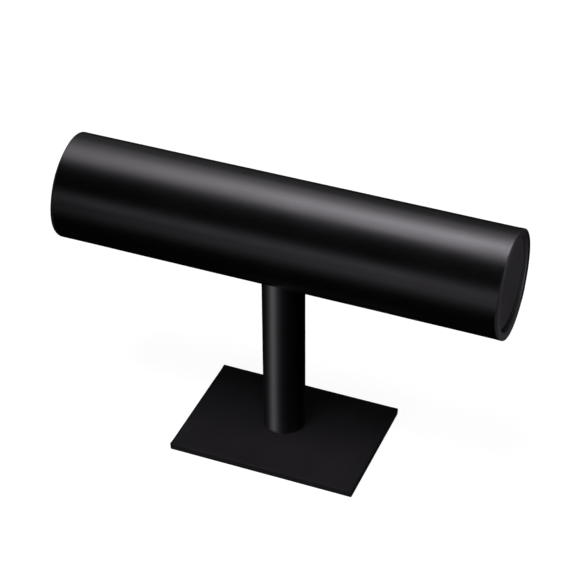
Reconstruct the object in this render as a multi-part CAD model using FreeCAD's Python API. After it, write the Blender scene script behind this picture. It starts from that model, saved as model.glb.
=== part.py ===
import FreeCAD, Part
import math
import os

from FreeCAD import Vector

# Bracelet display stand: a round bar for bracelets lies across the top of a round post, and the
# post stands on a thin board. Bar, post and board are covered in leatherette.
# Millimetres, +Z up. X runs along the bar, and +Y is the back of the stand.
# The origin is the middle of the underside of the base.

# Overall sizes, over the covering
overall_height = 155.0
bar_length = 236.0
bar_diameter = 55.0
post_diameter = 22.3
base_length = 102.2
base_depth = 71.5

# How far the post stands behind and to the left of the middle of the base
post_setback = 3.5
post_offset = 2.0

# Leatherette covering
wrap_thickness = 0.6
bar_seam_lap = 8.0
bar_seam_angle = 45.0
post_seam_lap = 6.0

# Base board, its turned-under margins and its lining
board_thickness = 2.5
board_edge_round = 0.5
turn_under = 12.0
mitre_slit = 0.4
mitre_stop = 2.5
lining_thickness = 0.4
lining_margin = 3.0

# Paperboard tube and the covering tucked into its mouths
tube_wall = 2.6
rim_round = 1.0
rim_bevel = 0.4
turn_in = 12.0
notch_count = 12
notch_width = 4.0
notch_root = 5.0

# Covered discs that close the tube
disc_thickness = 3.0
disc_recess = 2.4
cover_round = 0.9
disc_fit = 0.2
cover_turn = 6.0
cover_notch_root = 1.5

# Curved plate inside the tube
plate_length = 30.0
plate_width = 16.0
plate_thickness = 1.5

# Screws
screw_spacing = 10.0
screw_diameter = 3.5
screw_length = 16.0
screw_tip = 3.0
screw_head_diameter = 7.0
pan_head_height = 2.2
pan_head_bevel = 0.7
recess_width = 0.8
recess_span = 3.6
recess_depth = 1.2

# Clearances and the room that cutters need
seat_clearance = 0.1
hole_clearance = 0.1
hole_end_room = 0.5
cutter_overrun = 1.0
edge_limit = 0.45

# Worked out from the sizes above
bar_radius = bar_diameter / 2
post_radius = post_diameter / 2
screw_radius = screw_diameter / 2
screw_head_radius = screw_head_diameter / 2
countersink_depth = screw_head_radius - screw_radius
hole_radius = screw_radius + hole_clearance
board_bottom = lining_thickness + wrap_thickness
base_top = board_bottom + board_thickness + wrap_thickness
tube_outer_radius = bar_radius - wrap_thickness
tube_inner_radius = tube_outer_radius - tube_wall
mouth_radius = tube_inner_radius - wrap_thickness
cover_radius = mouth_radius - disc_fit
disc_radius = cover_radius - wrap_thickness
tube_end = bar_length / 2 - wrap_thickness
disc_outer_face = bar_length / 2 - disc_recess - wrap_thickness
bar_centre = Vector(0, post_setback, overall_height - bar_radius)
screw_places = (-screw_spacing / 2, screw_spacing / 2)

X_AXIS = Vector(1, 0, 0)
Y_AXIS = Vector(0, 1, 0)
Z_AXIS = Vector(0, 0, 1)
MIDDLE = Vector(0, 0, 0)
QUARTER_TURN = 90.0
HALF_TURN = 180.0
FULL_TURN = 360.0


def block(x_size, y_size, z_low, z_high):
    """Block centred on the Z axis, between two heights."""
    corner = Vector(-x_size / 2, -y_size / 2, z_low)
    return Part.makeBox(x_size, y_size, z_high - z_low, corner)


def rod_along_x(radius, x_low, x_high):
    """Cylinder on the X axis."""
    return Part.makeCylinder(radius, x_high - x_low, Vector(x_low, 0, 0), X_AXIS)


def turned(shape, axis, degrees):
    """Copy of a shape, turned about an axis through the origin."""
    copy = shape.copy()
    copy.rotate(MIDDLE, axis, degrees)
    return copy


def rims(shape):
    """The round edges of a turned shape, without the seam lines of its faces."""
    return [edge for edge in shape.Edges if edge.isClosed()]


def within_wall(edge_size, wall):
    """An edge's rounding or bevel, no larger than its wall leaves room for."""
    return min(edge_size, edge_limit * wall)


def ring_along_x(outer_radius, inner_radius, half_length):
    """Tube on the X axis, centred on the origin."""
    outer = rod_along_x(outer_radius, -half_length, half_length)
    return outer.cut(rod_along_x(inner_radius, -half_length, half_length))


def on_bar(shape):
    """A piece made on the X axis, lifted to the bar's place on the post."""
    return shape.translated(bar_centre)


def at_post(shape):
    """A piece made on the Z axis, moved to the post's place on the base."""
    return shape.translated(Y_AXIS * post_setback - X_AXIS * post_offset)


def over_post(shape):
    """A piece made at the middle of the bar, moved along it to the post."""
    return shape.translated(-X_AXIS * post_offset)


def polar(radius, angle):
    """Point in the XY plane at an angle in radians from the X axis."""
    return Vector(radius * math.cos(angle), radius * math.sin(angle), 0)


def lap_strip(radius, lap, length):
    """Top layer of a lapped seam on a round covering, standing along the Z axis at +X.

    Its outer face climbs from the covering's own radius to one thickness more over the lap,
    and drops off at the cut edge. Its inner face lies half way down in the covering.
    """
    half = lap / radius / 2
    sunk = radius - wrap_thickness / 2
    proud = radius + wrap_thickness
    climb = Part.Arc(polar(radius, -half), polar((radius + proud) / 2, 0), polar(proud, half))
    inside = Part.Arc(polar(sunk, half), polar(sunk, 0), polar(sunk, -half))
    cut_edge = Part.makeLine(polar(proud, half), polar(sunk, half))
    start = Part.makeLine(polar(sunk, -half), polar(radius, -half))
    section = Part.Face(Part.Wire([climb.toShape(), cut_edge, inside.toShape(), start]))
    return section.extrude(Z_AXIS * length)


def screw_body(head_radius, head_height):
    """Shank with a pointed tip and a conical head, along +Z from the head's flat face."""
    outline = [
        MIDDLE,
        Vector(head_radius, 0, 0),
        Vector(screw_radius, 0, head_height),
        Vector(screw_radius, 0, screw_length - screw_tip),
        Vector(0, 0, screw_length),
        MIDDLE,
    ]
    return Part.Face(Part.makePolygon(outline)).revolve(MIDDLE, Z_AXIS, FULL_TURN)


def cross_recess(depth_from, depth_to):
    """Crossed slots that a driver fits, between two heights."""
    slot = block(recess_span, recess_width, depth_from, depth_to)
    return slot.fuse(turned(slot, Z_AXIS, QUARTER_TURN))


def countersunk_screw():
    """Screw along +Z with the flat face of its countersunk head at the origin."""
    body = screw_body(screw_head_radius, countersink_depth)
    return body.cut(cross_recess(-cutter_overrun, recess_depth))


def pan_head_screw():
    """Screw along +Z with the underside of its bevelled head at the origin."""
    shank = screw_body(screw_radius, screw_tip)
    head = Part.makeCylinder(screw_head_radius, pan_head_height, -Z_AXIS * pan_head_height)
    top_rim = [edge for edge in rims(head) if edge.CenterOfMass.z < 0]
    head = head.makeChamfer(within_wall(pan_head_bevel, pan_head_height), top_rim)
    recess = cross_recess(-pan_head_height - cutter_overrun, recess_depth - pan_head_height)
    return shank.fuse(head).cut(recess)


def screw_holes(z_low, z_high):
    """Drilled holes for both screws of a pair, between two heights."""
    height = z_high - z_low
    return [Part.makeCylinder(hole_radius, height, Vector(x, 0, z_low)) for x in screw_places]


def base_envelope(inset, z_low, z_high):
    """Base outline moved in by an inset, with the edge rounding that such an inset leaves."""
    plate = block(base_length - 2 * inset, base_depth - 2 * inset, z_low, z_high)
    rounding = within_wall(board_edge_round + wrap_thickness - inset, z_high - z_low)
    return plate.makeFillet(rounding, plate.Edges)


def plain_board():
    """Fibreboard plate before it is drilled."""
    return base_envelope(wrap_thickness, board_bottom, board_bottom + board_thickness)


def base_board():
    """Fibreboard plate, with countersunk holes under the post."""
    holes = screw_holes(board_bottom - cutter_overrun, base_top)
    sink_depth = countersink_depth + hole_clearance
    sink = Part.makeCone(screw_head_radius + hole_clearance, screw_radius, sink_depth)
    sinks = [sink.translated(Vector(x, 0, board_bottom)) for x in screw_places]
    return plain_board().cut([at_post(cutter) for cutter in holes + sinks])


def mitre_cuts():
    """Slits from the corners of the underside to the corners of its open middle."""
    diagonal = math.sqrt(2)
    start = mitre_stop * diagonal
    length = (turn_under + cutter_overrun) * diagonal - start
    slit = Part.makeBox(length, mitre_slit, board_bottom, Vector(start, -mitre_slit / 2, 0))
    cuts = []
    for x_side in (-1, 1):
        for y_side in (-1, 1):
            inwards = math.degrees(math.atan2(-y_side, -x_side))
            corner = Vector(x_side * base_length / 2, y_side * base_depth / 2, 0)
            cuts.append(turned(slit, Z_AXIS, inwards).translated(corner))
    return cuts


def base_wrap():
    """Covering of the base: over the top and the edges, and turned under on all four sides."""
    envelope = base_envelope(0, lining_thickness, base_top)
    middle = block(base_length - 2 * turn_under, base_depth - 2 * turn_under, 0, board_bottom)
    holes = screw_holes(board_bottom, base_top + cutter_overrun)
    return envelope.cut([plain_board(), middle] + mitre_cuts() + [at_post(hole) for hole in holes])


def base_lining():
    """Flat sheet that closes the underside over the turned-under margins."""
    return block(base_length - 2 * lining_margin, base_depth - 2 * lining_margin, 0, lining_thickness)


def base_screws():
    """Countersunk screws, flush with the underside of the board and pointing up into the post."""
    screw = countersunk_screw()
    pair = [screw.translated(Vector(x, 0, board_bottom)) for x in screw_places]
    return at_post(Part.makeCompound(pair))


def bar_cutter():
    """The bar's round, a seat clearance larger, which copes the top of the post."""
    cutter = rod_along_x(bar_radius + seat_clearance, -post_diameter, post_diameter)
    return on_bar(cutter)


def post_core():
    """Wooden post with a coped top and pilot holes at both ends."""
    core_radius = post_radius - wrap_thickness
    core = Part.makeCylinder(core_radius, bar_centre.z - base_top, Vector(0, 0, base_top))
    low_depth = board_bottom + screw_length + hole_end_room
    high_depth = bar_centre.z - bar_screw_seat() - screw_length - hole_end_room
    holes = screw_holes(base_top - cutter_overrun, low_depth)
    holes += screw_holes(high_depth, bar_centre.z)
    return at_post(core.cut(holes)).cut(bar_cutter())


def post_wrap():
    """Sleeve of covering round the post, lapped at the back and coped like the core."""
    height = bar_centre.z - base_top
    sleeve = Part.makeCylinder(post_radius, height)
    sleeve = sleeve.fuse(turned(lap_strip(post_radius, post_seam_lap, height), Z_AXIS, QUARTER_TURN))
    sleeve = sleeve.cut(Part.makeCylinder(post_radius - wrap_thickness, height)).removeSplitter()
    return at_post(sleeve.translated(Z_AXIS * base_top)).cut(bar_cutter())


def bar_holes():
    """Holes down through the underside of the bar, one for each of its screws."""
    return [over_post(hole) for hole in screw_holes(-bar_radius - cutter_overrun, 0)]


def plain_tube():
    """Paperboard tube with bevelled rims, before it is drilled."""
    tube = ring_along_x(tube_outer_radius, tube_inner_radius, tube_end)
    return tube.makeChamfer(within_wall(rim_bevel, tube_wall), rims(tube))


def bar_tube():
    """Paperboard tube with holes for the screws in its underside."""
    return on_bar(plain_tube().cut(bar_holes()))


def turn_in_notches():
    """Wedges that notch the tucked-in margin of the covering at both ends of the tube."""
    root = bar_length / 2 - notch_root
    mouth = bar_length / 2 - turn_in - cutter_overrun
    half = notch_width / 2 * (root - mouth) / (turn_in - notch_root)
    inside = mouth_radius - cutter_overrun
    outline = [
        Vector(root, 0, inside),
        Vector(mouth, half, inside),
        Vector(mouth, -half, inside),
        Vector(root, 0, inside),
    ]
    wedge = Part.Face(Part.makePolygon(outline)).extrude(Z_AXIS * (wrap_thickness + 2 * cutter_overrun))
    ends = (wedge, turned(wedge, Z_AXIS, HALF_TURN))
    step = FULL_TURN / notch_count
    return [turned(end, X_AXIS, step * index) for end in ends for index in range(notch_count)]


def bar_seam():
    """Lap of the bar's covering, along the straight part of the bar at its lower back."""
    straight = bar_length - 2 * rim_round
    strip = lap_strip(bar_radius, bar_seam_lap, straight).translated(-Z_AXIS * straight / 2)
    underneath = turned(strip, Y_AXIS, QUARTER_TURN)
    return turned(underneath, X_AXIS, bar_seam_angle)


def bar_wrap():
    """Covering of the bar: round the tube, over both rims and tucked into both mouths."""
    tucked_end = bar_length / 2 - turn_in
    wall = tube_wall + 2 * wrap_thickness
    covering = ring_along_x(bar_radius, mouth_radius, bar_length / 2)
    covering = covering.makeFillet(within_wall(rim_round, wall), rims(covering))
    inside = rod_along_x(tube_inner_radius, -tucked_end, tucked_end)
    covering = covering.fuse(bar_seam()).cut([plain_tube(), inside] + turn_in_notches() + bar_holes())
    return on_bar(covering)


def saddle_plate():
    """Steel plate bent to the tube's inside, at its underside over the post."""
    ring = ring_along_x(tube_inner_radius, tube_inner_radius - plate_thickness, plate_length / 2)
    plate = over_post(ring.common(block(plate_length, plate_width, -bar_radius, 0)))
    return on_bar(plate.cut(bar_holes()))


def bar_screw_seat():
    """How far below the bar's axis a screw's flat head rests on the plate's hollow face."""
    hollow_radius = tube_inner_radius - plate_thickness
    return math.sqrt(hollow_radius ** 2 - screw_head_radius ** 2)


def bar_screws():
    """Pan-head screws, from inside the tube down through the plate into the post."""
    screw = turned(pan_head_screw(), X_AXIS, HALF_TURN)
    pair = [screw.translated(Vector(x, 0, -bar_screw_seat())) for x in screw_places]
    return on_bar(over_post(Part.makeCompound(pair)))


def end_disc():
    """Board disc of the right end, on the X axis."""
    return rod_along_x(disc_radius, disc_outer_face - disc_thickness, disc_outer_face)


def cover_notches(x_low, x_high):
    """Wedges that notch the margin of a disc's cover on the disc's back."""
    root = cover_radius - cover_notch_root
    open_end = cover_radius - cover_turn - cutter_overrun
    half = notch_width / 2
    outline = [
        Vector(x_low, 0, root),
        Vector(x_low, half, open_end),
        Vector(x_low, -half, open_end),
        Vector(x_low, 0, root),
    ]
    wedge = Part.Face(Part.makePolygon(outline)).extrude(X_AXIS * (x_high - x_low))
    step = FULL_TURN / notch_count
    return [turned(wedge, X_AXIS, step * index) for index in range(notch_count)]


def end_cover():
    """Cover of the right disc, on the X axis: over its face and edge and on to its back."""
    front = disc_outer_face + wrap_thickness
    disc_back = disc_outer_face - disc_thickness
    back = disc_back - wrap_thickness
    whole = rod_along_x(cover_radius, back, front)
    front_rim = [edge for edge in rims(whole) if edge.CenterOfMass.x > disc_outer_face]
    whole = whole.makeFillet(within_wall(cover_round, front - back), front_rim)
    open_back = rod_along_x(cover_radius - cover_turn, back - cutter_overrun, disc_back)
    notches = cover_notches(back - cutter_overrun, disc_back)
    return whole.cut([end_disc(), open_back] + notches)


def on_left_end(shape):
    """A piece made for the right end, turned round to the left."""
    return on_bar(turned(shape, Z_AXIS, HALF_TURN))


pieces = {
    "base_board": base_board(),
    "base_wrap": base_wrap(),
    "base_lining": base_lining(),
    "base_screws": base_screws(),
    "post_core": post_core(),
    "post_wrap": post_wrap(),
    "bar_tube": bar_tube(),
    "bar_wrap": bar_wrap(),
    "saddle_plate": saddle_plate(),
    "bar_screws": bar_screws(),
    "end_disc_left": on_left_end(end_disc()),
    "end_disc_right": on_bar(end_disc()),
    "end_cover_left": on_left_end(end_cover()),
    "end_cover_right": on_bar(end_cover()),
}

os.makedirs("parts", exist_ok=True)
for node, shape in pieces.items():
    solids = shape.Solids
    Part.makeCompound(solids).exportStep("parts/" + node + ".step")
    volume = sum(solid.Volume for solid in solids)
    print(node, len(solids), "solids", round(volume, 1), "mm3", shape.isValid())
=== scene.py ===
import math

import bmesh
import bpy
import numpy as np
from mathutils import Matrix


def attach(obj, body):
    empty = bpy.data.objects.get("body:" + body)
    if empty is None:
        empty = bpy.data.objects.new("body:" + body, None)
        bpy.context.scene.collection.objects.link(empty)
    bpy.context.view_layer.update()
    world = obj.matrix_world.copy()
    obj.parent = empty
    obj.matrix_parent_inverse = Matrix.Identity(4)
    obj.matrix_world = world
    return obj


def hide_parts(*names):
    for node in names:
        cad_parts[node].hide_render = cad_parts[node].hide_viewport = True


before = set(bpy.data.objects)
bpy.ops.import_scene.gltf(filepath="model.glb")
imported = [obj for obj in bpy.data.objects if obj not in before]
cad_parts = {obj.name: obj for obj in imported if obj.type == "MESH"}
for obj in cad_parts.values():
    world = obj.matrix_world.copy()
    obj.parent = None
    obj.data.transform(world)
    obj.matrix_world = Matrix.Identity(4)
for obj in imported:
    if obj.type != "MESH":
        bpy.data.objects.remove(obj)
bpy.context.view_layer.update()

# Bracelet display stand. A round bar lies across a round post on a thin board, and all of
# it is covered in black leatherette. X runs along the bar, Y from the front to the back,
# and Z up. Sizes are millimetres until a mesh is made, and those of the studio are metres.

MM = 0.001
FULL_TURN = 2.0 * math.pi
COVERING = 0.6

# Bar: a paperboard tube in its covering, which is turned in at both mouths
BAR_RADIUS = 27.5
BAR_HALF_LENGTH = 118.0
BAR_AXIS_Y = 3.5
BAR_AXIS_Z = 127.5
TUBE_RADIUS = 26.9
TUBE_BORE = 24.3
TUBE_HALF_LENGTH = 117.4
TUBE_BEVEL = 0.4
MOUTH_RADIUS = 23.7
RIM_ROUND = 0.45
MOUTH_ROUND = 1.1
TURN_IN = 12.0

# Relief of the bar's covering
BEAD_LEFT = 0.01
BEAD_RIGHT = 0.10
GATHERS_AT_RIM = 0.07
GATHERS_IN_THROAT = 0.13
BAR_UNEVEN = 0.035
SLACK_ALL_ROUND = 0.12
SLACK_LEFT = 0.2
MOST_CUT_AWAY = -0.4
CUT_SOFTNESS = 0.1
NOTCH_PULL = 6.5

# Discs that close the bar, and their covers
COVER_RADIUS = 23.62
COVER_FACE = 115.6
COVER_BACK = 111.4
COVER_ROUND = 0.5
COVER_BACK_ROUND = 0.3
COVER_MARGIN = 6.0
COVER_NOTCH_PULL = 4.0
DISC_FACE = 115.0
DISC_BACK = 112.0
DISC_RADIUS = 22.9

# Post
POST_RADIUS = 11.15
POST_AXIS_X = -2.0
POST_FOOT_Z = 4.1
SEAT_GAP = 0.1

# Base: a board in its covering, and the card that closes its underside
BASE_HALF_LENGTH = 51.1
BASE_HALF_DEPTH = 35.75
BASE_TOP = 4.1
BASE_UNDERSIDE = 0.4
BASE_LIP = 0.05
BASE_EDGE_ROUND = 0.6
BASE_LOW_ROUND = 0.35
BASE_SLACK = 0.10
OUT_OF_SQUARE = 0.12
BOARD_LOW = 1.0
BOARD_HIGH = 3.5
BOARD_BEVEL = 0.5
TURN_UNDER = 12.0
LINING_MARGIN = 3.0
LINING_THICKNESS = 0.4
LINING_ROUND = 0.12

# Notches in a turned-in margin: how many once round, and half of one's width in its share
NOTCHES = 12
NOTCH_HALF_WIDTH = 0.16

# Lapped seams: how wide they lap, where they lie, and how the upper edge climbs and drops
BAR_LAP = 8.0
BAR_LAP_HALF = BAR_LAP / 2.0 / BAR_RADIUS
BAR_LAP_AT = math.radians(225.0)
BAR_LAP_EDGE = BAR_LAP_AT - BAR_LAP_HALF
POST_LAP = 6.0
POST_LAP_HALF = POST_LAP / 2.0 / POST_RADIUS
POST_LAP_AT = math.radians(90.0)
POST_LAP_EDGE = POST_LAP_AT + POST_LAP_HALF
LAP_CLIMB = 2.5
LAP_DROP = 0.16
LAP_SOFT = 0.5
LAP_EDGE_STEPS = (-1.0, -0.4, -0.1, 0.0, 0.08, 0.16, 0.4, 1.0)

# Angle round the bar, rising from the front, of the side that the photograph shows
CAMERA_SIDE = math.radians(38.0)

# Small lumps of glue under a disc's cover: place across and up from its middle, and height
GLUE_LUMPS = ((2.5, 14.0, 0.13), (-5.5, 12.5, 0.09), (3.0, -13.0, 0.06), (-11.0, -6.0, 0.05))
GLUE_LUMP_RADIUS = 0.8

# How near points of one mesh may lie before they become one, in metres
SAME_POINT = 2e-6
NO_LENGTH = 1e-7


def ease(low, high, value):
    """0 below low, 1 above high, and 3t squared minus 2t cubed between them."""
    t = np.clip((value - low) / (high - low), 0.0, 1.0)
    return t * t * (3.0 - 2.0 * t)


def bell(middle, width, value):
    """Rounded hump: e to the minus square of the distance from the middle over the width."""
    return np.exp(-((value - middle) / width) ** 2)


def arc(centre, radius, start, end, count):
    """Points of an arc: centre plus radius times cosine and sine of the angle, in degrees."""
    angle = np.radians(np.linspace(start, end, count))
    return np.column_stack([centre[0] + radius * np.cos(angle), centre[1] + radius * np.sin(angle)])


def run(start, end, count, crowd=1.0):
    """Straight run of points, closer towards its end: by one minus (1 - t) to a power."""
    t = 1.0 - (1.0 - np.linspace(0.0, 1.0, count)) ** crowd
    return np.array(start) + np.outer(t, np.array(end) - np.array(start))


def joined(*parts):
    """The parts of a section one after the other, without the points that two parts share."""
    path = np.vstack(parts)
    keep = np.append(True, np.linalg.norm(np.diff(path, axis=0), axis=1) > 1e-6)
    return path[keep]


def as_columns(section):
    """The two values of a section's points, each as a column that a row of angles can meet."""
    return section[:, 0][:, None], section[:, 1][:, None]


def left_hand(path, closed):
    """Unit direction to the left of travel at each point: the tangent turned by a quarter."""
    ahead = np.roll(path, -1, axis=0)
    behind = np.roll(path, 1, axis=0)
    if not closed:
        ahead[-1] = path[-1]
        behind[0] = path[0]
    tangent = ahead - behind
    tangent /= np.linalg.norm(tangent, axis=1)[:, None]
    return np.column_stack([-tangent[:, 1], tangent[:, 0]])


def ripples(angle, counts, seed):
    """Gathers round a rim: sines of several counts, each swelling and fading as it goes round."""
    dice = np.random.default_rng(seed)
    total = np.zeros_like(angle)
    for count in counts:
        phase, slow_phase = dice.uniform(0.0, FULL_TURN, 2)
        slow = dice.integers(2, 6)
        total += np.sin(count * angle + phase) * (0.55 + 0.45 * np.sin(slow * angle + slow_phase))
    return total / len(counts)


def slow_waves(u, v, seed, count=6):
    """Unevenness of hand covering: a few long sine waves over two directions, added up."""
    dice = np.random.default_rng(seed)
    total = np.zeros(np.broadcast(u, v).shape)
    for _ in range(count):
        along, across = dice.integers(1, 5, 2)
        total += np.sin(along * u + across * v + dice.uniform(0.0, FULL_TURN)) / count
    return total


def notch_depth(angle):
    """How deep a margin is notched: a triangle wave with one narrow peak at each notch."""
    step = FULL_TURN / NOTCHES
    off = np.abs((angle + step / 2.0) % step - step / 2.0)
    return np.clip(1.0 - off / (step * NOTCH_HALF_WIDTH), 0.0, 1.0)


def turn_angles(count, edge, radius):
    """Angles once round, evenly spaced, and some more by the edge where a lap drops off."""
    even = np.linspace(0.0, FULL_TURN, count, endpoint=False)
    close = edge + np.array(LAP_EDGE_STEPS) / radius
    return np.unique(np.round(np.append(even, close % FULL_TURN), 6))


def lap_height(offset, half_lap, radius):
    """Step of a lapped seam, by the angle from the middle of the lap.

    It eases up from the lap's start, lies flat at the covering's thickness, sinks by up to a
    quarter next to the cut edge, and drops off there.
    """
    climb = ease(-half_lap, -half_lap + LAP_CLIMB / radius, offset)
    drop = 1.0 - ease(half_lap, half_lap + LAP_DROP / radius, offset)
    soft = 1.0 - 0.25 * bell(half_lap, LAP_SOFT / radius, offset)
    return COVERING * climb * drop * soft


def round_the_bar(along, radius, angle):
    """Points at a place along the bar, a radius, and an angle that rises from the front."""
    across = BAR_AXIS_Y - radius * np.cos(angle)
    up = BAR_AXIS_Z + radius * np.sin(angle)
    return np.stack([along, across, up], axis=-1)


def make_piece(name, grid, wear_and_painted_light, wrap_rows, replaced, material):
    """Mesh of a grid of points, rows along the section and columns round the piece.

    Each face joins the points (row, column), (row, column + 1), (row + 1, column + 1) and
    (row + 1, column). Columns close on themselves, and rows do when wrap_rows is true.
    """
    rows, columns, _ = grid.shape
    index = np.arange(rows * columns).reshape(rows, columns)
    if wrap_rows:
        index = np.vstack([index, index[:1]])
    index = np.hstack([index, index[:, :1]])
    faces = np.stack([index[:-1, :-1], index[:-1, 1:], index[1:, 1:], index[1:, :-1]], axis=-1)
    mesh = bpy.data.meshes.new(name)
    mesh.from_pydata((grid.reshape(-1, 3) * MM).tolist(), [], faces.reshape(-1, 4).tolist())
    # The values given hold wear and, on some pieces, painted light and painted shade for the
    # colour.
    wear_and_light_layer = mesh.attributes.new("wear_and_painted_light", "FLOAT", "POINT")
    wear_and_light_layer.data.foreach_set("value", np.ascontiguousarray(wear_and_painted_light, dtype=np.float32).ravel())
    soup = bmesh.new()
    soup.from_mesh(mesh)
    bmesh.ops.remove_doubles(soup, verts=soup.verts, dist=SAME_POINT)
    bmesh.ops.dissolve_degenerate(soup, edges=soup.edges, dist=NO_LENGTH)
    bmesh.ops.recalc_face_normals(soup, faces=soup.faces)
    soup.to_mesh(mesh)
    soup.free()
    mesh.shade_smooth()
    mesh.materials.append(material)
    piece = bpy.data.objects.new(name, mesh)
    bpy.context.scene.collection.objects.link(piece)
    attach(piece, "root")
    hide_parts(*replaced)
    return piece


class Recipe:
    """Nodes of a material or of the world, being put together.

    A source is a pair: a node, and the name or number of one of its outputs.
    """

    # A Mix node's sockets for colours, by number, because it uses their names more than once
    MIX_FACTOR, MIX_FIRST, MIX_SECOND, MIX_COLOUR = 0, 6, 7, 2

    def __init__(self, owner):
        owner.use_nodes = True
        self.tree = owner.node_tree
        self.tree.nodes.clear()
        self.coordinates = self.node("ShaderNodeTexCoord")

    def node(self, kind, **settings):
        made = self.tree.nodes.new(kind)
        for key, value in settings.items():
            setattr(made, key, value)
        return made

    def join(self, source, target, socket):
        self.tree.links.new(source[0].outputs[source[1]], target.inputs[socket])

    def spread(self, source, low, high, to_low=0.0, to_high=1.0):
        """Maps a number straight from one range to another and stops at its ends."""
        made = self.node("ShaderNodeMapRange")
        values = {"From Min": low, "From Max": high, "To Min": to_low, "To Max": to_high}
        for key, value in values.items():
            made.inputs[key].default_value = value
        self.join(source, made, "Value")
        return made, "Result"

    def combine(self, operation, first, second):
        """Sum or product of two sources, or of a source and a plain number."""
        made = self.node("ShaderNodeMath", operation=operation)
        for number, term in enumerate((first, second)):
            if isinstance(term, float):
                made.inputs[number].default_value = term
            else:
                self.join(term, made, number)
        return made, "Value"

    def blend(self, factor, first, second):
        """Colour between two colours, by a number from 0 to 1."""
        made = self.node("ShaderNodeMix", data_type="RGBA")
        self.join(factor, made, self.MIX_FACTOR)
        for socket, colour in ((self.MIX_FIRST, first), (self.MIX_SECOND, second)):
            if isinstance(colour[0], float):
                made.inputs[socket].default_value = (*colour, 1.0)
            else:
                self.join(colour, made, socket)
        return made, self.MIX_COLOUR

    def plain(self, kind, level, strength=None):
        """Shader of one even grey, with a strength where it gives light."""
        made = self.node(kind)
        made.inputs["Color"].default_value = (level, level, level, 1.0)
        if strength is not None:
            made.inputs["Strength"].default_value = strength
        return made, 0


class Finish(Recipe):
    """A material of the stand: one shader, with its patterns on Object coordinates."""

    def __init__(self, name, gloss=0.5):
        self.material = bpy.data.materials.new(name)
        super().__init__(self.material)
        self.place = (self.coordinates, "Object")
        self.shader = self.node("ShaderNodeBsdfPrincipled")
        self.shader.inputs["Specular IOR Level"].default_value = gloss
        self.join((self.shader, "BSDF"), self.node("ShaderNodeOutputMaterial"), "Surface")

    def stretched(self, scale):
        """Object coordinates, stretched along the axes."""
        mapping = self.node("ShaderNodeMapping")
        mapping.inputs["Scale"].default_value = scale
        self.join(self.place, mapping, "Vector")
        return mapping, "Vector"

    def noise(self, scale, detail=3.0, roughness=0.5, source=None):
        made = self.node("ShaderNodeTexNoise")
        made.inputs["Scale"].default_value = scale
        made.inputs["Detail"].default_value = detail
        made.inputs["Roughness"].default_value = roughness
        self.join(source or self.place, made, "Vector")
        return made, "Fac"

    def fibres(self, stretch, detail, roughness):
        """Noise drawn out along the axes, for fibres, grain and drawn lines."""
        return self.noise(1.0, detail, roughness, self.stretched(stretch))

    def cells(self, scale, feature="F1"):
        made = self.node("ShaderNodeTexVoronoi", feature=feature)
        made.inputs["Scale"].default_value = scale
        self.join(self.place, made, "Vector")
        return made, "Distance"

    def colour(self, source):
        self.join(source, self.shader, "Base Color")

    def rough(self, source):
        self.join(source, self.shader, "Roughness")

    def relief(self, source, strength, depth, under=None, invert=False):
        """Relief of a depth in millimetres, on the shader or under another relief."""
        made = self.node("ShaderNodeBump", invert=invert)
        made.inputs["Strength"].default_value = strength
        made.inputs["Distance"].default_value = depth * MM
        self.join(source, made, "Height")
        self.join((made, "Normal"), self.shader if under is None else under, "Normal")
        return made


def leatherette(name, *, black, lifted, edge, gloss, drawn, rough, rough_edge, grain, depth):
    """Embossed black leatherette: pebble grain, cloudy sheen, and edges of their own.

    The ground goes from black to lifted in clouds and specks, and rough gives its lowest and
    highest roughness. Where the pieces' wear and painted light attribute is 1, the colour is edge
    and rough_edge is added to the roughness: edge is worn or stretched colour, and on some pieces
    painted highlight or painted shade. drawn is how far highlights spread across the sheet. The
    pebbles are grain across and depth deep, in millimetres.
    """
    finish = Finish(name, gloss)
    finish.shader.inputs["Specular Tint"].default_value = (0.97, 0.91, 1.0, 1.0)
    finish.shader.inputs["Anisotropic"].default_value = drawn
    finish.shader.inputs["Anisotropic Rotation"].default_value = 0.25
    clouds = finish.noise(38.0, 4.0, 0.55)
    specks = finish.noise(900.0, 2.0)
    pebbles = finish.cells(1.0 / (grain * MM), "SMOOTH_F1")
    fine = finish.noise(4200.0, 2.0, 0.6)
    # The wear and painted light attribute: worn and stretched colour, and on the bar, the end
    # covers and the base also painted highlight and painted shade.
    wear_and_painted_light = (finish.node("ShaderNodeAttribute", attribute_name="wear_and_painted_light"), "Fac")
    clouded = finish.blend(finish.spread(clouds, 0.3, 0.7), black, lifted)
    flecked = finish.blend(finish.spread(specks, 0.62, 0.8, 0.0, 0.5), clouded, lifted)
    finish.colour(finish.blend(finish.spread(wear_and_painted_light, 0.0, 1.0), flecked, edge))
    satin = finish.spread(clouds, 0.3, 0.7, *rough)
    pores = finish.spread(pebbles, 0.0, 0.6, -0.015, 0.03)
    worn = finish.combine("MULTIPLY", wear_and_painted_light, rough_edge)
    finish.rough(finish.combine("ADD", finish.combine("ADD", satin, pores), worn))
    fine_relief = finish.relief(fine, 0.5, depth * 0.35)
    finish.relief(pebbles, 0.6, depth, under=fine_relief, invert=True)
    return finish.material


def fibreboard():
    """Pressed fibreboard: warm brown with pale and dark fibres and a dusty cut surface."""
    finish = Finish("pressed_fibreboard", 0.3)
    fibres = finish.fibres((700.0, 2600.0, 3400.0), 6.0, 0.65)
    blotches = finish.spread(finish.noise(90.0), 0.4, 0.75, 0.0, 0.35)
    mixed = finish.spread(fibres, 0.35, 0.65)
    brown = finish.blend(mixed, (0.21, 0.125, 0.068), (0.42, 0.28, 0.165))
    finish.colour(finish.blend(blotches, brown, (0.16, 0.09, 0.05)))
    finish.rough(finish.spread(fibres, 0.3, 0.7, 0.78, 0.92))
    finish.relief(fibres, 0.6, 0.05)
    return finish.material


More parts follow.
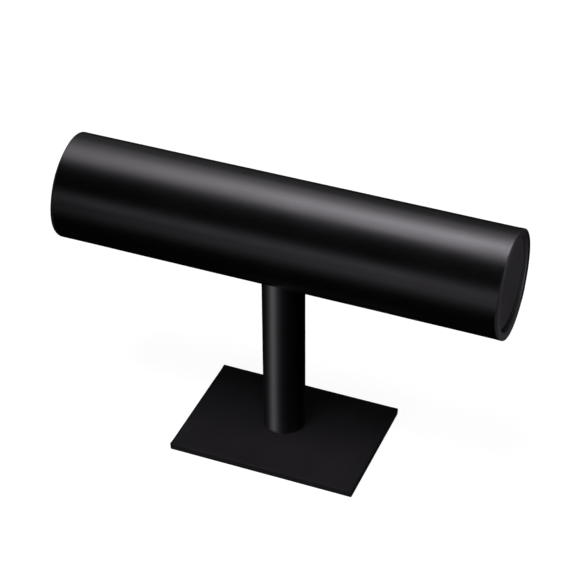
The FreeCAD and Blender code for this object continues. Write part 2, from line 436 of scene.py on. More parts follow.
def lining_card():
    """Black card of the underside: matte, with short grey fibres and a faint felt side."""
    finish = Finish("black_lining_card", 0.25)
    fibres = finish.fibres((900.0, 2400.0, 1500.0), 5.0, 0.7)
    clouds = finish.spread(finish.noise(60.0), 0.3, 0.7)
    ground = finish.blend(clouds, (0.013, 0.013, 0.014), (0.022, 0.021, 0.022))
    finish.colour(finish.blend(finish.spread(fibres, 0.56, 0.72), ground, (0.05, 0.049, 0.05)))
    finish.rough(finish.spread(fibres, 0.3, 0.7, 0.82, 0.95))
    finish.relief(fibres, 0.7, 0.04)
    return finish.material


def beech():
    """Turned beech: pale long grain along the post with short darker flecks."""
    finish = Finish("turned_beech", 0.35)
    grain = finish.fibres((420.0, 420.0, 14.0), 5.0, 0.55)
    flecks = finish.spread(finish.fibres((1500.0, 1500.0, 260.0), 2.0, 0.5), 0.6, 0.72, 0.0, 0.6)
    wood = finish.blend(finish.spread(grain, 0.35, 0.65), (0.42, 0.25, 0.13), (0.62, 0.42, 0.25))
    finish.colour(finish.blend(flecks, wood, (0.28, 0.14, 0.07)))
    finish.rough(finish.spread(grain, 0.3, 0.7, 0.55, 0.7))
    finish.relief(grain, 0.4, 0.05)
    return finish.material


def paperboard(name, pale, dark, winding):
    """Grey-brown board: mixed paper fibres, with spiral winding lines where it is a tube."""
    finish = Finish(name, 0.3)
    fibres = finish.fibres((500.0, 1700.0, 1700.0), 6.0, 0.7)
    specks = finish.spread(finish.noise(2400.0, 2.0), 0.64, 0.74, 0.0, 0.7)
    pulp = finish.blend(finish.spread(fibres, 0.35, 0.65), dark, pale)
    finish.colour(finish.blend(specks, pulp, (0.09, 0.07, 0.05)))
    finish.rough(finish.spread(fibres, 0.3, 0.7, 0.8, 0.93))
    if winding:
        bands = finish.node("ShaderNodeTexWave", wave_type="BANDS", bands_direction="DIAGONAL")
        bands.inputs["Scale"].default_value = 9.0
        bands.inputs["Distortion"].default_value = 0.4
        finish.join(finish.place, bands, "Vector")
        lines = finish.spread((bands, "Fac"), 0.0, 0.06)
        finish.relief(finish.combine("ADD", fibres, lines), 0.6, 0.06)
    else:
        finish.relief(fibres, 0.6, 0.05)
    return finish.material


def zinc_steel():
    """Zinc plate on steel: cool bright metal with spangled tone and fine drawn lines."""
    finish = Finish("zinc_plated_steel")
    finish.shader.inputs["Metallic"].default_value = 1.0
    spangle = finish.spread(finish.cells(900.0), 0.0, 0.8)
    drawn = finish.fibres((600.0, 5200.0, 5200.0), 4.0, 0.6)
    finish.colour(finish.blend(spangle, (0.58, 0.6, 0.64), (0.72, 0.73, 0.74)))
    finish.rough(finish.spread(drawn, 0.3, 0.7, 0.24, 0.42))
    finish.relief(drawn, 0.3, 0.01)
    return finish.material


# The bar's edge colour is the pale of its rims and mouths: painted highlight and painted light over
# some stretched wear.
bar_black = leatherette(
    "bar_leatherette",
    black=(0.0017, 0.0015, 0.0018),
    lifted=(0.0026, 0.0023, 0.0028),
    edge=(0.022, 0.02, 0.023),
    gloss=1.0,
    drawn=0.0,
    rough=(0.28, 0.32),
    rough_edge=1.6,
    grain=0.75,
    depth=0.010,
)
post_black = leatherette(
    "post_leatherette",
    black=(0.0017, 0.0015, 0.0018),
    lifted=(0.0026, 0.0023, 0.0028),
    edge=(0.004, 0.0036, 0.0042),
    gloss=1.0,
    drawn=0.7,
    rough=(0.48, 0.52),
    rough_edge=0.0,
    grain=0.75,
    depth=0.010,
)
# The base's edge colour is darker than its top: painted shade for its rounded upper edges and
# corners.
base_black = leatherette(
    "base_leatherette",
    black=(0.0098, 0.0088, 0.0103),
    lifted=(0.0132, 0.0118, 0.0139),
    edge=(0.0052, 0.0047, 0.0055),
    gloss=0.12,
    drawn=0.0,
    rough=(0.58, 0.64),
    rough_edge=0.2,
    grain=0.7,
    depth=0.02,
)
# The end covers' colours are painted lighter, standing in for more light on them, and their edge
# colour is the pale of a painted highlight ring and painted glints.
end_black_painted_lighter = leatherette(
    "end_leatherette",
    black=(0.027, 0.0247, 0.0282),
    lifted=(0.0365, 0.0333, 0.038),
    edge=(0.038, 0.0347, 0.0396),
    gloss=0.3,
    drawn=0.0,
    rough=(0.55, 0.62),
    rough_edge=0.0,
    grain=0.7,
    depth=0.025,
)
lining_black = lining_card()


def bar_half_section():
    """Right half of the covering's section, as places along the bar and radii.

    It runs out along the outside, over the rim in two quarter arcs, down the mouth, round the
    tucked margin's free edge, and back along the bore, the end and the outside of the tube.
    """
    shoulder = BAR_HALF_LENGTH - RIM_ROUND
    by_shoulder = shoulder - 4.0
    inner_shoulder = BAR_HALF_LENGTH - MOUTH_ROUND
    margin_end = BAR_HALF_LENGTH - TURN_IN
    bevel_start = TUBE_HALF_LENGTH - TUBE_BEVEL
    return joined(
        run((0.0, BAR_RADIUS), (by_shoulder, BAR_RADIUS), 26, 1.6),
        run((by_shoulder, BAR_RADIUS), (shoulder, BAR_RADIUS), 12),
        arc((shoulder, BAR_RADIUS - RIM_ROUND), RIM_ROUND, 90.0, 0.0, 9),
        arc((inner_shoulder, MOUTH_RADIUS + MOUTH_ROUND), MOUTH_ROUND, 0.0, -90.0, 9),
        run((inner_shoulder, MOUTH_RADIUS), (margin_end, MOUTH_RADIUS), 16),
        run((margin_end, MOUTH_RADIUS), (margin_end, TUBE_BORE), 3),
        run((margin_end, TUBE_BORE), (bevel_start, TUBE_BORE), 8),
        run(
            (TUBE_HALF_LENGTH, TUBE_BORE + TUBE_BEVEL),
            (TUBE_HALF_LENGTH, TUBE_RADIUS - TUBE_BEVEL),
            3,
        ),
        run((bevel_start, TUBE_RADIUS), (0.0, TUBE_RADIUS), 10),
    )


def bar_end_cut(side, facing):
    """How far the covering's ends stand proud of a true cut, along the bar.

    Each end has its own sum of cosines and sines of the angle from the camera's side. The sum
    is bent softly so that it stays above the most that is cut away: that, plus the softness
    times the logarithm of 1 plus e to the difference over the softness.
    """
    cut_left = 0.08 - 0.8 * np.cos(2.0 * (facing - 0.12)) + 0.12 * np.sin(facing)
    cut_right = 0.1 - 0.6 * np.sin(facing) - 0.3 * np.clip(-np.cos(facing + 0.35), 0.0, 1.0)
    cut = np.where(side < 0, cut_left, cut_right)
    return MOST_CUT_AWAY + CUT_SOFTNESS * np.log1p(np.exp((cut - MOST_CUT_AWAY) / CUT_SOFTNESS))


def bar_wear_and_painted_light(place, radius, turn, gathered, outside, shown):
    """How pale the covering is painted, from 0 to 1: stretched wear, painted highlight and painted
    shade.

    The rims carry a painted highlight over some stretched wear, by a sum of cosines and sines of
    the angle from the camera's side, faintest on the far side as painted shade, and by their
    gathers, and from further in where the lower front is drawn over the rim. The mouths' inner
    edges are painted pale as light on walls that lie in shade, most away from the camera's side,
    and the seam's cut edge is worn a little pale.
    """
    facing = turn - CAMERA_SIDE
    drawn_over = 1.1 * bell(0.0, 0.6, np.mod(facing + 0.9 + np.pi, FULL_TURN) - np.pi)
    rim_start = TUBE_HALF_LENGTH - 0.2 - drawn_over
    rim_end = BAR_HALF_LENGTH - 0.15 - 0.7 * drawn_over
    rim = ease(rim_start, rim_end, place)
    # Painted highlight on the rims, varied round the bar: palest on the lower front, faintest on
    # the far side as painted shade.
    rim = rim * (0.42 + 0.18 * np.cos(facing) - 0.35 * np.sin(facing) - 0.1 * np.cos(2.0 * facing))
    inner_edge = 1.0 - ease(MOUTH_RADIUS + 0.4, MOUTH_RADIUS + 1.3, radius)
    # Painted light on the mouths' inner walls, which lie in shade, most on the side away from the
    # camera.
    painted_light_inside = (0.27 + 0.15 * np.clip(-np.cos(facing), 0.0, 1.0)) * inner_edge * shown
    rim = rim * (1.0 + 0.35 * gathered - 0.3 * bell(BAR_RADIUS - 1.9, 0.5, radius))
    patchy = 0.85 + 0.25 * slow_waves(turn * 3.0, 0.0 * place, 8)
    # Painted highlight, painted light and stretched wear together, made patchy.
    stretched = np.maximum(rim, painted_light_inside) * patchy
    seam = 0.1 * bell(0.0, 0.5 / BAR_RADIUS, BAR_LAP_EDGE - turn) * outside * shown
    return np.clip(stretched + seam, 0.0, 1.0)


def bar_covering():
    """Covering of the bar: its section turned round the bar's axis.

    A point is the section's point moved along the section's outward normal by a height. The
    height adds the slack on the tube, a bead by the rim, the lapped seam, gathers where the
    covering turns into the mouth, and the slow unevenness of hand work. The free margins are
    pulled back at each notch, and the ends move along the bar by their cut.
    """
    half = bar_half_section()
    whole = np.vstack([half, (half * (-1.0, 1.0))[-2:0:-1]])
    normal = left_hand(whole, True)
    normal[len(half):] = left_hand(half, False)[-2:0:-1] * (-1.0, 1.0)
    angle = turn_angles(360, BAR_LAP_EDGE, BAR_RADIUS)
    along_bar, radius = as_columns(whole)
    side = np.sign(along_bar)
    place = np.abs(along_bar)
    turn = angle[None, :]
    facing = turn - CAMERA_SIDE

    off_tube = (radius > TUBE_RADIUS + 0.3) | (radius < TUBE_BORE - 0.3)
    shown = np.where(off_tube | (place > TUBE_HALF_LENGTH + 0.3), 1.0, 0.0)
    outside = ease(MOUTH_RADIUS + 1.2, BAR_RADIUS - 1.0, radius)
    mouth = 1.0 - ease(MOUTH_RADIUS + 0.4, BAR_RADIUS - 0.6, radius)
    throat = 1.0 - ease(MOUTH_RADIUS - 0.1, MOUTH_RADIUS + 1.0, radius)
    near_rim = ease(BAR_HALF_LENGTH - 6.0, BAR_HALF_LENGTH - 1.0, place)

    bead_height = np.where(side < 0, BEAD_LEFT, BEAD_RIGHT)
    bead = bead_height * ease(BAR_HALF_LENGTH - 3.0, BAR_HALF_LENGTH - 2.1, place) * outside
    bead = bead * (1.0 + 0.25 * slow_waves(3.0 * turn, 0.0 * place, 3))
    lap = lap_height(BAR_LAP_AT - turn, BAR_LAP_HALF, BAR_RADIUS) * outside
    lap = lap * (0.15 + 0.85 * (1.0 - ease(BAR_HALF_LENGTH - 3.5, BAR_HALF_LENGTH - 0.5, place)))
    gathered = np.where(side < 0, ripples(turn, (34, 47, 61), 11), ripples(turn, (31, 43, 58), 5))
    gather_height = GATHERS_AT_RIM + GATHERS_IN_THROAT * throat
    gathers = gather_height * gathered * near_rim * (0.15 + 0.85 * mouth)
    uneven = BAR_UNEVEN * slow_waves(turn, along_bar / 24.0, 21)
    left_share = 1.0 - ease(-60.0, 60.0, along_bar)
    slack = SLACK_ALL_ROUND + SLACK_LEFT * left_share * (0.5 - 0.5 * np.sin(facing))
    height = shown * (bead + lap + gathers + uneven + slack * outside)
    moved = whole[:, None, :] + normal[:, None, :] * height[:, :, None]

    tucked = radius < TUBE_BORE + 0.1
    margin = ease(BAR_HALF_LENGTH - 5.0, BAR_HALF_LENGTH - TURN_IN, place) * tucked
    pulled = NOTCH_PULL * notch_depth(turn) * margin
    out_of_true = bar_end_cut(side, facing) * ease(60.0, TUBE_HALF_LENGTH, place)
    along = moved[:, :, 0] + side * (pulled + out_of_true)
    grid = round_the_bar(along, moved[:, :, 1], turn)
    wear_and_painted_light = bar_wear_and_painted_light(place, radius, turn, gathered, outside, shown)
    return make_piece("bar_covering", grid, wear_and_painted_light, True, ["bar_wrap"], bar_black)


def cover_section():
    """Section of a disc's cover, as places along the bar and radii, from pole to pole.

    It runs from the middle of the face, over the rounded edge, across the back margin to its
    free edge, and then back inside round the board disc to the middle again.
    """
    corner = COVER_RADIUS - COVER_ROUND
    shoulder = COVER_FACE - COVER_ROUND
    back_corner = COVER_RADIUS - COVER_BACK_ROUND
    back_shoulder = COVER_BACK + COVER_BACK_ROUND
    inner_edge = COVER_RADIUS - COVER_MARGIN
    return joined(
        run((COVER_FACE, 0.0), (COVER_FACE, corner), 30, 1.3),
        arc((shoulder, corner), COVER_ROUND, 0.0, 90.0, 8),
        run((shoulder, COVER_RADIUS), (back_shoulder, COVER_RADIUS), 5),
        arc((back_shoulder, back_corner), COVER_BACK_ROUND, 90.0, 180.0, 4),
        run((COVER_BACK, back_corner), (COVER_BACK, inner_edge), 8),
        run((COVER_BACK, inner_edge), (DISC_BACK, inner_edge), 3),
        run((DISC_BACK, inner_edge), (DISC_BACK, DISC_RADIUS), 6),
        run((DISC_BACK, DISC_RADIUS), (DISC_FACE, DISC_RADIUS), 4),
        run((DISC_FACE, DISC_RADIUS), (DISC_FACE, 0.0), 8),
    )


def end_cover(name, side, node, seed):
    """Cover of one end disc: its section turned round the bar's axis.

    The face is a shallow dish that rises to its edge, with bells for the glue lumps, faint
    gathers round the edge, and slow unevenness. The edge is squeezed in by the same gathers,
    and the free margin on the back is pulled out at each notch.
    """
    angle = np.linspace(0.0, FULL_TURN, 216, endpoint=False)[None, :]
    place, radius = as_columns(cover_section())
    across = -radius * np.cos(angle)
    up = radius * np.sin(angle)
    gathered = ripples(angle, (26, 39, 52), seed)

    face = ease(COVER_FACE - COVER_ROUND, COVER_FACE - 0.05, place)
    dish = -0.06 * (1.0 - ease(12.0, 22.0, radius))
    lumps = sum(
        height * np.exp(-((across - y) ** 2 + (up - z) ** 2) / GLUE_LUMP_RADIUS ** 2)
        for y, z, height in GLUE_LUMPS
    )
    gathers = 0.04 * gathered * bell(22.6, 1.2, radius)
    uneven = 0.05 * slow_waves(across / 7.0, up / 7.0, seed + 1)
    lift = face * (dish + lumps + gathers + uneven)

    squeeze = 0.03 * (gathered - 1.0) * (radius > COVER_RADIUS - 0.05)
    margin = (radius < DISC_RADIUS - 0.2) & (place < DISC_BACK + 0.1)
    free = ease(COVER_RADIUS - 1.5, COVER_RADIUS - COVER_MARGIN, radius) * margin
    reach = radius + squeeze + COVER_NOTCH_PULL * notch_depth(angle) * free
    grid = round_the_bar(side * (place + lift), reach, angle)
    # Painted highlight: a pale ring just inside the rounded edge, and the glue lumps painted pale
    # as glints.
    wear_and_painted_light = 0.3 * bell(22.3, 0.8, radius) * face * (0.7 + 0.3 * np.sin(5.0 * angle + seed))
    wear_and_painted_light = np.clip(wear_and_painted_light + 9.0 * lumps * face, 0.0, 1.0)
    return make_piece(name, grid, wear_and_painted_light, False, [node], end_black_painted_lighter)


def post_covering():
    """Sleeve of covering round the post: a closed section carried round the post's axis.

    The section climbs outside from the foot to the bar, crosses the top edge, and comes down
    inside. Its top follows the bar: the bar's axis height less the root of the seat radius
    squared minus the square of the distance behind or before the axis. The foot and the top
    edge are tucked in a little.
    """
    foot_steps = [0.0, 0.0015, 0.004, 0.008, 0.013]
    top_steps = [0.994, 1.0]
    level = np.concatenate([foot_steps, np.linspace(0.02, 0.985, 56), top_steps])
    rise = np.concatenate([level, level[::-1]])[:, None]
    outer = np.concatenate([np.ones(len(level)), np.zeros(len(level))])[:, None]
    turn = turn_angles(240, POST_LAP_EDGE, POST_RADIUS)[None, :]

    lap = lap_height(turn - POST_LAP_AT, POST_LAP_HALF, POST_RADIUS) * 0.9
    tucked = -0.36 * np.exp(-(rise / 0.008) ** 2)
    turned_top = -0.10 * np.exp(-(1.0 - rise) / 0.004)
    uneven = 0.03 * slow_waves(turn, rise * 9.0, 33)
    relief = outer * (0.04 + lap + tucked + turned_top + uneven)
    radius = POST_RADIUS - COVERING * (1.0 - outer) + relief
    across = radius * np.cos(turn)
    back = radius * np.sin(turn)
    top = BAR_AXIS_Z - np.sqrt((BAR_RADIUS + SEAT_GAP) ** 2 - back ** 2)
    height = POST_FOOT_Z + (top - POST_FOOT_Z) * rise
    grid = np.stack([POST_AXIS_X + across, BAR_AXIS_Y + back, height], axis=-1)
    seam = 0.25 * bell(0.0, 0.5 / POST_RADIUS, turn - POST_LAP_EDGE)
    wear_and_painted_light = outer * (0.35 * np.exp(-rise / 0.01) + seam)
    return make_piece(
        "post_covering", grid, wear_and_painted_light, True, ["post_wrap"], post_black
    )


def outline_ring(inset, corner):
    """Rounded rectangle round the base at each inset, with its corner radius: X and Y arrays.

    Each side is crowded towards its ends, and each corner is a quarter arc of 7 points, which
    falls together into one point where the corner radius is 0.
    """
    along = BASE_HALF_LENGTH - inset
    deep = BASE_HALF_DEPTH - inset
    near = np.array([0.0, 0.006, 0.015, 0.03, 0.06, 0.11, 0.18, 0.27, 0.38, 0.5])
    share = np.concatenate([near, 1.0 - near[-2::-1]])[1:-1]
    bend = np.radians(np.linspace(0.0, 90.0, 7))
    signs = ((1, 1), (-1, 1), (-1, -1), (1, -1))
    parts_x, parts_y = [], []
    for quarter, (x_sign, y_sign) in enumerate(signs):
        next_x_sign, next_y_sign = signs[(quarter + 1) % len(signs)]
        turn = bend + quarter * np.pi / 2.0
        centre_x = x_sign * (along - corner)
        centre_y = y_sign * (deep - corner)
        next_x = next_x_sign * (along - corner)
        next_y = next_y_sign * (deep - corner)
        out_x = corner * np.cos(turn[-1])
        out_y = corner * np.sin(turn[-1])
        parts_x.append(centre_x + corner * np.cos(turn))
        parts_x.append(centre_x + out_x + (next_x - centre_x) * share)
        parts_y.append(centre_y + corner * np.sin(turn))
        parts_y.append(centre_y + out_y + (next_y - centre_y) * share)
    return np.hstack(parts_x), np.hstack(parts_y)


def base_section():
    """Section of the base's covering, as insets from its outline and heights.

    It runs from the middle of the top, over the rounded upper edge, down the side, under the
    lip that stands round the card, along the turned-under margin to its free edge, and back
    round the board to the middle.
    """
    edge = BASE_EDGE_ROUND
    low_edge = BASE_LOW_ROUND
    by_edge = 6.0
    lip_inside = LINING_MARGIN - 1.4
    lip_foot = LINING_MARGIN - 0.5
    board_bevel = COVERING + BOARD_BEVEL
    return joined(
        run((BASE_HALF_DEPTH, BASE_TOP), (by_edge, BASE_TOP), 16),
        run((by_edge, BASE_TOP), (edge, BASE_TOP), 10),
        arc((edge, BASE_TOP - edge), edge, 90.0, 180.0, 8),
        arc((low_edge, BASE_LIP + low_edge), low_edge, 180.0, 270.0, 8),
        run((low_edge, BASE_LIP), (lip_inside, BASE_LIP), 5),
        run((lip_inside, BASE_LIP), (lip_foot, BASE_UNDERSIDE), 5),
        run((lip_foot, BASE_UNDERSIDE), (TURN_UNDER, BASE_UNDERSIDE), 12),
        run((TURN_UNDER, BASE_UNDERSIDE), (TURN_UNDER, BOARD_LOW), 3),
        run((TURN_UNDER, BOARD_LOW), (board_bevel, BOARD_LOW), 8),
        run((COVERING, BOARD_LOW + BOARD_BEVEL), (COVERING, BOARD_HIGH - BOARD_BEVEL), 3),
        run((board_bevel, BOARD_HIGH), (BASE_HALF_DEPTH, BOARD_HIGH), 8),
    )


def base_covering():
    """Covering of the base: each point of its section carried round the rounded rectangle.

    The top has a faint unevenness and a slight ridge along its edges, and a groove marks each
    mitre of the turned-under margin. The sides are a little slack and fuller at the folded
    corners, and stand a little out of square with the board.
    """
    inset, level = as_columns(base_section())
    x, y = outline_ring(inset, np.clip(BASE_EDGE_ROUND - inset, 0.0, None))
    level = np.broadcast_to(level, x.shape)
    at_side = inset < 0.5
    above = (level > BASE_TOP - 0.01).astype(float)
    uneven = 0.035 * slow_waves(x / 14.0, y / 14.0, 41) * ease(1.0, 8.0, inset)
    ridge = 0.05 * bell(2.2, 1.2, inset)
    diagonal = np.abs((BASE_HALF_LENGTH - np.abs(x)) - (BASE_HALF_DEPTH - np.abs(y)))
    below = (level < BASE_UNDERSIDE + 0.01) & (inset > BASE_EDGE_ROUND - 0.01)
    groove = 0.4 * bell(0.0, 0.35, diagonal) * below * ease(1.1, 2.6, inset)
    height = level + above * (uneven + ridge) + groove

    from_corner = np.hypot(BASE_HALF_LENGTH - np.abs(x), BASE_HALF_DEPTH - np.abs(y))
    outer = (inset < BASE_EDGE_ROUND) & (level > BASE_UNDERSIDE + 0.1)
    fuller = 0.10 * np.exp(-(from_corner / 2.4) ** 2) * outer * at_side
    slack = (BASE_SLACK + 0.03 * slow_waves(x / 9.0, y / 9.0, 43)) * at_side
    grow = 1.0 + (fuller + slack) / BASE_HALF_DEPTH
    aside = OUT_OF_SQUARE * at_side
    grid = np.stack([x * grow - aside, y * grow - aside, height], axis=-1)
    # Painted shade: the rounded upper edges and the corners take the darker edge colour, which
    # evens out the brighter line where the lit top meets the lit sides.
    painted_shade_edge = bell(0.3, 0.7, inset) * (level > BASE_TOP - 1.2)
    wear_and_painted_light = 0.55 * painted_shade_edge + 0.5 * np.exp(-(from_corner / 3.0) ** 2) * (inset < 1.2)
    wear_and_painted_light = np.clip(wear_and_painted_light * (0.75 + 0.35 * slow_waves(x / 5.0, y / 5.0, 47)), 0.0, 1.0)
    return make_piece(
        "base_covering", grid, wear_and_painted_light, False, ["base_wrap"], base_black
    )


def base_lining():
    """Card that closes the underside: a thin plate carried round like the covering.

    It is drawn up a little where no turned-under margin backs it, and faintly uneven.
    """
    edge = LINING_ROUND
    top = LINING_THICKNESS
    middle = BASE_HALF_DEPTH
    backed = TURN_UNDER - 2.0
    unbacked = TURN_UNDER + 2.0
    inset, level = as_columns(joined(
        run((middle, 0.0), (unbacked, 0.0), 8),
        run((unbacked, 0.0), (backed, 0.0), 12),
        run((backed, 0.0), (LINING_MARGIN + edge, 0.0), 8),
        arc((LINING_MARGIN + edge, edge), edge, 270.0, 180.0, 4),
        arc((LINING_MARGIN + edge, top - edge), edge, 180.0, 90.0, 4),
        run((LINING_MARGIN + edge, top), (backed, top), 8),
        run((backed, top), (unbacked, top), 12),
        run((unbacked, top), (middle, top), 8),
    ))
    x, y = outline_ring(inset, np.clip(LINING_MARGIN + 0.8 - inset, 0.0, None))
    level = np.broadcast_to(level, x.shape)
    drawn_up = 0.22 * ease(TURN_UNDER - 0.6, TURN_UNDER + 1.0, inset)
    flat_edge = ease(LINING_MARGIN + 0.3, LINING_MARGIN + 3.0, inset)
    uneven = 0.03 * slow_waves(x / 11.0, y / 11.0, 51) * flat_edge
    grid = np.stack([x, y, level + drawn_up + np.maximum(uneven, 0.0)], axis=-1)
    wear_and_painted_light = np.zeros(x.shape)
    return make_piece(
        "underside_card", grid, wear_and_painted_light, False, ["base_lining"], lining_black
    )


bar_piece = bar_covering()
right_end = end_cover("right_end_cover", 1.0, "end_cover_right", 61)
left_end = end_cover("left_end_cover", -1.0, "end_cover_left", 67)
post_piece = post_covering()
base_piece = base_covering()
lining_piece = base_lining()

# The nodes that keep their CAD shape, all of them inside the coverings
disc_board = paperboard("grey_disc_board", (0.36, 0.34, 0.31), (0.22, 0.205, 0.185), False)
steel = zinc_steel()
inside = {
    "base_board": fibreboard(),
    "post_core": beech(),
    "bar_tube": paperboard("wound_paperboard", (0.44, 0.34, 0.235), (0.3, 0.22, 0.145), True),
    "end_disc_left": disc_board,
    "end_disc_right": disc_board,
    "saddle_plate": steel,
    "bar_screws": steel,
    "base_screws": steel,
}
for inside_node, inside_material in inside.items():
    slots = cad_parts[inside_node].data.materials
    slots.clear()
    slots.append(inside_material)

scene = bpy.context.scene
scene.view_settings.view_transform = "Standard"

camera_data = bpy.data.cameras.new("photograph_camera")
camera_data.sensor_width = 36.0
camera_data.lens = 124.213
camera_data.clip_start = 0.05
camera_data.clip_end = 20.0
camera = bpy.data.objects.new("photograph_camera", camera_data)
camera.location = (0.30728, -0.74383, 0.69398)
camera.rotation_euler = (math.radians(53.4134), math.radians(0.3254), math.radians(22.1301))
scene.collection.objects.link(camera)
scene.camera = camera

# Where glossy rays see the white, as ramps along an axis: the axis, its range, and the
# share at each end. The first goes by the place on the floor in metres, the others by the
# direction in the room.
FLOOR_PATCH = (
    ("X", -0.5, -0.15, 0.0, 1.0),
    ("X", -0.05, 0.35, 1.0, 0.0),
    ("Y", -0.60, -0.17, 0.37, 0.0),
)
LOW_FRONT_PATCH = (
    ("Z", 0.05, 0.36, 1.0, 0.0),
    ("X", -0.46, -0.30, 0.0, 1.0),
    ("X", -0.28, -0.08, 1.0, 0.0),
    ("Y", -0.9, -0.4, 1.15, 0.0),
)
LOW_BACK_PATCH = (
    ("Z", 0.1, 0.5, 1.0, 0.0),
    ("X", -0.5, 0.0, 1.0, 0.0),
    ("Y", 0.2, 0.7, 0.0, 0.14),
)

FLOOR_CORNERS = ((-6.0, -6.0, 0.0), (6.0, -6.0, 0.0), (6.0, 6.0, 0.0), (-6.0, 6.0, 0.0))

# The floor's lit grey and even glow, and the dark of floor and room that bounced light sees
FLOOR_GREY = 0.18
FLOOR_GLOW = 0.94
FLOOR_DARK = 0.005
ROOM_DARK = 0.005


def patch(recipe, place, ramps):
    """Soft-edged patch: ramps along the axes of a place or a direction, multiplied together."""
    axes = recipe.node("ShaderNodeSeparateXYZ")
    recipe.join(place, axes, 0)
    share = None
    for axis, *ends in ramps:
        step = recipe.spread((axes, axis), *ends)
        share = step if share is None else recipe.combine("MULTIPLY", share, step)
    return share


def white_to_the_eye(recipe, dark, white, share):
    """Mixes a dark shader with a white one, by the kind of ray that looks at it.

    Camera and transmission rays see the white, glossy rays a share of it, from 0 to 1, and
    the light that bounces about sees the dark.
    """
    rays = recipe.node("ShaderNodeLightPath")
    clear = recipe.combine("ADD", (rays, "Is Camera Ray"), (rays, "Is Transmission Ray"))
    whiteness = recipe.node("ShaderNodeMath", operation="MULTIPLY_ADD", use_clamp=True)
    mixed = recipe.node("ShaderNodeMixShader")
    for source, target, socket in (
        ((rays, "Is Glossy Ray"), whiteness, 0),
        (share, whiteness, 1),
        (clear, whiteness, 2),
        ((whiteness, "Value"), mixed, 0),
        (dark, mixed, 1),
        (white, mixed, 2),
    ):
        recipe.join(source, target, socket)
    return mixed, "Shader"


def pale_floor():
    """Flat square floor: an even glow plus a lit grey, which is what holds the shadow."""
    mesh = bpy.data.meshes.new("pale_floor")
    mesh.from_pydata(FLOOR_CORNERS, [], [(0, 1, 2, 3)])
    material = bpy.data.materials.new("pale_floor")
    recipe = Recipe(material)
    pale = recipe.node("ShaderNodeAddShader")
    recipe.join(recipe.plain("ShaderNodeBsdfDiffuse", FLOOR_GREY), pale, 0)
    recipe.join(recipe.plain("ShaderNodeEmission", 1.0, FLOOR_GLOW), pale, 1)
    dark = recipe.plain("ShaderNodeBsdfDiffuse", FLOOR_DARK)
    share = patch(recipe, (recipe.coordinates, "Object"), FLOOR_PATCH)
    surface = white_to_the_eye(recipe, dark, (pale, "Shader"), share)
    recipe.join(surface, recipe.node("ShaderNodeOutputMaterial"), "Surface")
    mesh.materials.append(material)
    made = bpy.data.objects.new("pale_floor", mesh)
    scene.collection.objects.link(made)
    return made


def studio_room():
    """World round the stand: dark for its lamps, and white for the eye."""
    room = bpy.data.worlds.new("studio")
    recipe = Recipe(room)
    dark = recipe.plain("ShaderNodeBackground", 1.0, ROOM_DARK)
    white = recipe.plain("ShaderNodeBackground", 1.0, 1.0)
    direction = (recipe.coordinates, "Generated")
    low_front = patch(recipe, direction, LOW_FRONT_PATCH)
    low_back = patch(recipe, direction, LOW_BACK_PATCH)
    surface = white_to_the_eye(recipe, dark, white, recipe.combine("ADD", low_front, low_back))
    recipe.join(surface, recipe.node("ShaderNodeOutputWorld"), "Surface")
    return room


def softbox(name, place, aim, width, height, brightness, lit):
    """Rectangular lamp at a place, facing its aim, flagged off every piece but those it is for.

    Its power is its brightness times pi times its area.
    """
    lamp = bpy.data.lights.new(name, "AREA")
    lamp.shape = "RECTANGLE"
    lamp.size = width
    lamp.size_y = height
    lamp.energy = brightness * math.pi * width * height
    holder = bpy.data.objects.new(name, lamp)
    holder.location = place
    x, y, z = np.array(aim) - np.array(place)
    holder.rotation_euler = (math.atan2(math.hypot(x, y), -z), 0.0, math.atan2(y, x) - math.pi / 2)
    holder.visible_camera = False
    scene.collection.objects.link(holder)
    receivers = bpy.data.collections.new(name + "_lights")
    for piece in lit:
        receivers.objects.link(piece)
    holder.light_linking.receiver_collection = receivers


floor = pale_floor()
scene.world = studio_room()

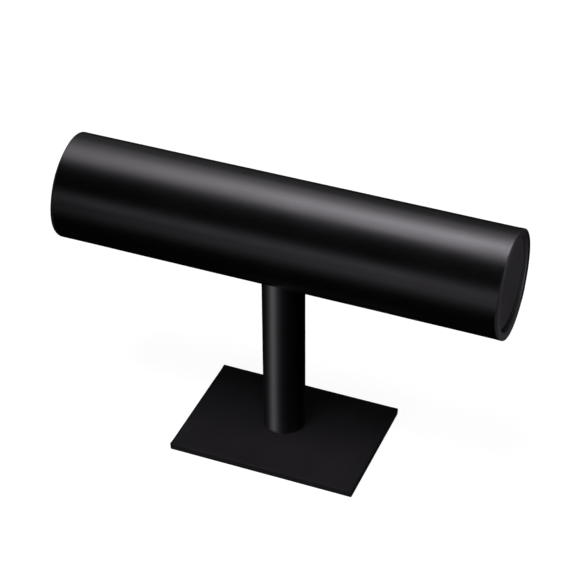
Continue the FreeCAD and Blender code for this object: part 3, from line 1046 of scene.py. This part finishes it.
# The bar lies under an arch of strips, at angles that rise from the front, with the
# brightness of the left and the right one. A strip's place and aim are along the bar.
ARCH = (
    (84, 0.2, 1.0),
    (96, 1.75, 2.75),
    (108, 1.6, 4.05),
    (120, 1.4, 2.1),
    (132, 0.6, 0.65),
    (144, 0.4, 0.4),
)
ARCH_RADIUS = 0.9
ARCH_MIDDLE = (0.003, 0.13)
STRIPS = {
    "left": {"place": -0.43, "aim": -0.25, "width": 0.33},
    "right": {"place": -0.065, "aim": -0.01, "width": 0.48},
}
STRIP_HEIGHT = 0.19
FOOT = (0.0, 0.0, 0.0)

upper_pieces = [bar_piece, right_end, left_end, post_piece]
lower_pieces = [base_piece, lining_piece, floor]
for degrees, *levels in ARCH:
    turned = math.radians(degrees)
    arch_y = ARCH_MIDDLE[0] - ARCH_RADIUS * math.cos(turned)
    arch_z = ARCH_MIDDLE[1] + ARCH_RADIUS * math.sin(turned)
    for (hand, strip), level in zip(STRIPS.items(), levels):
        softbox(
            f"arch_{degrees}_{hand}",
            (strip["place"], arch_y, arch_z),
            (strip["aim"], *ARCH_MIDDLE),
            strip["width"],
            STRIP_HEIGHT,
            level,
            upper_pieces,
        )

# Each lamp's name, place, aim, width, height, brightness, and the pieces it is for
for lamp_settings in (
    ("low_lamp", (-1.25, -2.05, 0.15), (0.0, 0.0, 0.05), 0.95, 0.28, 32.0, [post_piece]),
    ("key", (-0.06, -0.24, 1.00), FOOT, 0.45, 0.35, 12.9, lower_pieces),
    ("fill", (-0.30, -0.55, 0.80), FOOT, 0.30, 0.30, 2.8, lower_pieces),
    ("right_fill", (0.34, -0.46, 0.55), FOOT, 0.25, 0.25, 3.4, lower_pieces),
    ("front", (-0.25, -0.98, 0.16), FOOT, 0.40, 0.24, 12.0, lower_pieces),
    ("side", (0.95, -0.20, 0.13), FOOT, 0.40, 0.22, 9.0, lower_pieces),
    ("end_card", (0.72, -0.32, 0.24), (0.118, 0.0, 0.127), 0.35, 0.35, 7.5, [bar_piece, right_end]),
    ("left_card", (-0.72, 0.25, 0.24), (-0.118, 0.0, 0.127), 0.35, 0.35, 5.0, [left_end]),
):
    softbox(*lamp_settings)
